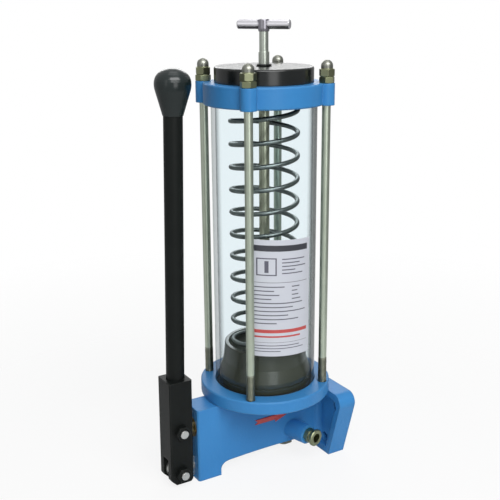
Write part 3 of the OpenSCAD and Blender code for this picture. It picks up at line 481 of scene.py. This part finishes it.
def wound(name, sizes, sides, steps, finish, ring=None):
    """A mesh of a wire wound by Geometry Nodes: one, or one at each point of a ring."""
    tree = bpy.data.node_groups.new(name, "GeometryNodeTree")
    tree.interface.new_socket("Geometry", in_out="OUTPUT", socket_type="NodeSocketGeometry")
    keys = {}
    for key in sizes:
        socket = tree.interface.new_socket(key, in_out="INPUT", socket_type="NodeSocketFloat")
        keys[key] = socket.identifier
    given = tree.nodes.new("NodeGroupInput")
    field = Wire(tree)
    size = {key: Wire(tree, given.outputs[key]) for key in sizes}
    path = helix(field, steps, size["Mean radius"], size["Rise"], size["Turns"],
                 size["End rise"], size["Start"])
    section = field.node("GeometryNodeCurvePrimitiveCircle", None, {
        "Resolution": sides, "Radius": size["Wire radius"]})
    shape = field.node("GeometryNodeCurveToMesh", None, {
        "Curve": path, "Profile Curve": section, "Fill Caps": True})
    shape = field.node("GeometryNodeSetShadeSmooth", None, {"Geometry": shape})
    if ring:
        count, radius, turned = ring
        posts = field.node("GeometryNodeMeshCircle", None, {"Vertices": count, "Radius": radius})
        posts = field.node("GeometryNodeTransform", None, {
            "Geometry": posts, "Rotation": (0, 0, turned)})
        shape = field.node("GeometryNodeInstanceOnPoints", None, {
            "Points": posts, "Instance": shape})
    place = field.node("ShaderNodeCombineXYZ", None, {"X": size["Across"], "Z": size["Foot"]})
    shape = field.node("GeometryNodeTransform", None, {"Geometry": shape, "Translation": place})
    shape = field.node("GeometryNodeRealizeInstances", None, {"Geometry": shape})
    shape = field.node("GeometryNodeSetMaterial", None, {"Geometry": shape, "Material": finish})
    field.node("NodeGroupOutput", None, {"Geometry": shape})
    former = bpy.data.objects.new(name + ".form", bpy.data.meshes.new(name + ".form"))
    bpy.context.scene.collection.objects.link(former)
    winding = former.modifiers.new("wound", "NODES")
    winding.node_group = tree
    for key, value in sizes.items():
        winding[keys[key]] = value
    formed = former.evaluated_get(bpy.context.evaluated_depsgraph_get())
    mesh = bpy.data.meshes.new_from_object(formed)
    mesh.name = name
    bpy.data.objects.remove(former)
    return mesh


dark_zinc = plated(
    "dark_zinc", (0.30, 0.31, 0.24), (0.16, 0.17, 0.13), 0.30, 0.20, edges=0.8)
dress(dark_zinc, "valve_plug")
thread_long = THREAD_TOP - THREAD_FROM
thread_turns = thread_long / THREAD_PITCH
thread_mesh = wound("rod_threads", {
    "Mean radius": ROD_R - RIDGE_SUNK, "Wire radius": RIDGE_R, "Rise": thread_long,
    "Turns": thread_turns, "End rise": THREAD_PITCH, "Start": 0.0, "Across": AXIS,
    "Foot": THREAD_FROM},
    RIDGE_SIDES, int(RIDGE_STEPS * thread_turns), dark_zinc, (ROD_COUNT, ROD_RING, ROD_TURN))
threads = add_piece("rod_threads", thread_mesh, "base")

# T-bar: a short steel bar with a hub on the stem's top, bright chromed. The hub is dull and violet
# from its weld.
HUB_R = 0.0068


def welded(paint, metal):
    """The dull violet of the weld, inside the hub's radius."""
    reach = off_axis(paint)[1]
    return tint(paint, 0.8 * ((HUB_R - reach) / 0.001).held(), metal, (0.26, 0.25, 0.285))


chrome = plated("bright_chrome", (0.78, 0.77, 0.81), (0.68, 0.67, 0.71), 0.18, 0.12, (2, 2, 2),
                0.00002, stain_and_shade=welded)
dress(chrome, "t_bar")

# Follower: a cup turned from dark olive nylon, with lathe rings round its skirt and a film of
# grease that gives it a wet sheen in places. Inside, the cup is painted pale as painted light.
CUP_R = 0.0372
olive_nylon, paint = new_finish("olive_nylon")
rings = noise(paint, 90.0, 2.0, (0.15, 0.15, 30))
smear = noise(paint, 30.0, 3.0, (1, 1, 0.6))
olive = tint(paint, 0.5 * rings + 0.5 * smear, (0.030, 0.031, 0.021), (0.066, 0.066, 0.044))
# Painted light: the inside of the cup is made much paler.
cup_painted_light = ((CUP_R - off_axis(paint)[1]) / 0.0006).held()
olive = tint(paint, cup_painted_light, olive, (0.33, 0.35, 0.31))
show(paint, {"Base Color": olive, "Roughness": 0.24 + 0.18 * smear, "Coat Weight": 0.35,
             "Normal": bump(paint, 0.35, 0.0002, {"Height": rings})})
dress(olive_nylon, "follower_plate")

# Springs: the follower spring and the small check spring are wound from oiled spring wire with
# closed ends.
CLOSED = 2.1
SPRING_FOOT, SPRING_SEAT, SPRING_WIRE = 0.095, 0.385, 0.00225
SPRING_R, SPRING_TURNS, SPRING_START = 0.03175, 14.6, math.radians(60)
VALVE_X, PLUG_TOP, CHECK_LONG, CHECK_WIRE = AXIS + 0.0227, 0.0215, 0.014196, 0.00045
CHECK_R, CHECK_TURNS = 0.003, 5.0
spring_steel = plated(
    "spring_steel", (0.21, 0.23, 0.22), (0.12, 0.135, 0.13), 0.26, 0.20, (1, 1, 1))
spring_mesh = wound("wound_follower_spring", {
    "Mean radius": SPRING_R, "Wire radius": SPRING_WIRE,
    "Rise": SPRING_SEAT - SPRING_FOOT - 2 * SPRING_WIRE, "Turns": SPRING_TURNS,
    "End rise": CLOSED * SPRING_WIRE, "Start": SPRING_START, "Across": AXIS,
    "Foot": SPRING_FOOT + SPRING_WIRE}, 14, 1050, spring_steel)
spring = add_piece("wound_follower_spring", spring_mesh, "base")
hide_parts("follower_spring")
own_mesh(spring)

check_mesh = wound("wound_check_spring", {
    "Mean radius": CHECK_R, "Wire radius": CHECK_WIRE, "Rise": CHECK_LONG - 2 * CHECK_WIRE,
    "Turns": CHECK_TURNS, "End rise": CLOSED * CHECK_WIRE, "Start": 0.0, "Across": VALVE_X,
    "Foot": PLUG_TOP + CHECK_WIRE}, 10, 240, spring_steel)
check = add_piece("wound_check_spring", check_mesh, "base")
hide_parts("check_spring")
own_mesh(check)

# Floor: a pale sweep of card that fades out round the pump, so that only its soft shadow shows
# against the white behind.
FLOOR_R, FADE_FROM, FADE_OVER, CARD_GLOW = 1.1, 0.25, 0.55, 0.85
form = bmesh.new()
bmesh.ops.create_circle(form, cap_ends=True, radius=FLOOR_R, segments=96)
floor_mesh = as_mesh(form, "floor")
card, paint = new_finish("pale_card")
spot = paint.node("ShaderNodeTexCoord", out="Object")
fade = ((paint.vector("LENGTH", spot, out="Value") - FADE_FROM) / FADE_OVER).held()
board = paint.node("ShaderNodeBsdfPrincipled", None, {
    "Base Color": tint(paint, noise(paint, 8.0), (0.78, 0.78, 0.78), (0.80, 0.80, 0.80)),
    "Roughness": 0.9, "Specular IOR Level": 0.1})
bright = paint.node("ShaderNodeEmission", None, {"Color": (1, 1, 1, 1), "Strength": 1.0})
board = paint.node("ShaderNodeMixShader", None, {
    0: CARD_GLOW * paint.node("ShaderNodeLightPath", out="Is Camera Ray"), 1: board, 2: bright})
gone = paint.node("ShaderNodeBsdfTransparent")
paint.node("ShaderNodeOutputMaterial", None, {
    "Surface": paint.node("ShaderNodeMixShader", None, {0: fade, 1: board, 2: gone})})
floor_mesh.materials.append(card)
floor = bpy.data.objects.new("floor", floor_mesh)
bpy.context.scene.collection.objects.link(floor)

# Studio: white card all round for the eye, a softer grey dome for the light, and five soft boxes.
# The main one is in front, a tall strip under it, and one behind lights the cap's top. Gloss sees
# part of the white: more from above, from the left and from ahead.
LEFT_WAY, AHEAD_WAY = (-0.85, 0.52, 0), (-0.77, -0.64, 0)
world = bpy.data.worlds.new("studio")
world.use_nodes = True
world.node_tree.nodes.clear()
dome = Wire(world.node_tree)
ray = world.node_tree.nodes.new("ShaderNodeLightPath")
seen, glossy, through = (Wire(world.node_tree, ray.outputs[key])
                         for key in ("Is Camera Ray", "Is Glossy Ray", "Is Transmission Ray"))
way = dome.node("ShaderNodeTexCoord", out="Generated")
up = dome.node("ShaderNodeSeparateXYZ", None, {0: way}, "Z")
left, ahead = dome.dot(way, LEFT_WAY), dome.dot(way, AHEAD_WAY)
white = dome.node("ShaderNodeBackground", None, {"Color": (1, 1, 1, 1), "Strength": 1.0})
grey = dome.node("ShaderNodeBackground", None, {"Color": (0.97, 0.985, 1, 1), "Strength": 0.23})
sheen = (0.17 + 0.10 * left + 0.28 * ahead.held() ** 2 + 0.50 * up.held()).held()
clear_view = (seen + through + glossy * sheen).held()
dome.node("ShaderNodeOutputWorld", None, {
    "Surface": dome.node("ShaderNodeMixShader", None, {0: clear_view, 1: grey, 2: white})})
bpy.context.scene.world = world

for name, place, aim, size, power in (
        ("front_box", (-0.22, -1.22, 1.50), (0.0, 0.0, 0.20), (1.6, 1.0), 29.0),
        ("strip_box", (-0.30, -1.75, 0.50), (0.0, 0.0, 0.20), (0.70, 1.2), 5.2),
        ("left_box", (-1.35, -0.55, 0.70), (0.0, 0.0, 0.22), (0.3, 1.0), 0.6),
        ("top_box", (0.15, 0.10, 1.80), (0.02, 0.0, 0.20), (0.9, 0.9), 2.5),
        ("back_box", (0.70, 1.40, 0.95), (0.02, 0.0, 0.30), (1.2, 0.7), 7.2)):
    lamp = bpy.data.lights.new(name, "AREA")
    lamp.shape, lamp.size, lamp.size_y, lamp.energy = "RECTANGLE", *size, power
    box = bpy.data.objects.new(name, lamp)
    box.location = place
    box.rotation_euler = (Vector(aim) - Vector(place)).to_track_quat("-Z", "Y").to_euler()
    box.visible_camera = False
    bpy.context.scene.collection.objects.link(box)

# Camera: a little above the cap, in front on the lever's side, with the long lens that the
# proportions of the picture need.
LENS, SENSOR, SHIFT_X, SHIFT_Y = 62.79, 36.0, -0.0286, -0.0092
EYE, HEADING = (-0.41013, -0.6990, 0.4595), math.atan2(0.8515, 0.524)
DIP, ROLL = math.radians(15.85), math.radians(-0.19)
level = math.cos(DIP)
look = Vector((level * math.cos(HEADING), level * math.sin(HEADING), -math.sin(DIP)))
camera = bpy.data.cameras.new("camera")
camera.lens, camera.sensor_width = LENS, SENSOR
camera.shift_x, camera.shift_y = SHIFT_X, SHIFT_Y
viewer = bpy.data.objects.new("camera", camera)
turned = look.to_track_quat("-Z", "Y").to_matrix() @ Matrix.Rotation(ROLL, 3, "Z")
viewer.matrix_world = Matrix.Translation(EYE) @ turned.to_4x4()
bpy.context.scene.collection.objects.link(viewer)
bpy.context.scene.camera = viewer
bpy.context.scene.view_settings.view_transform = "Standard"
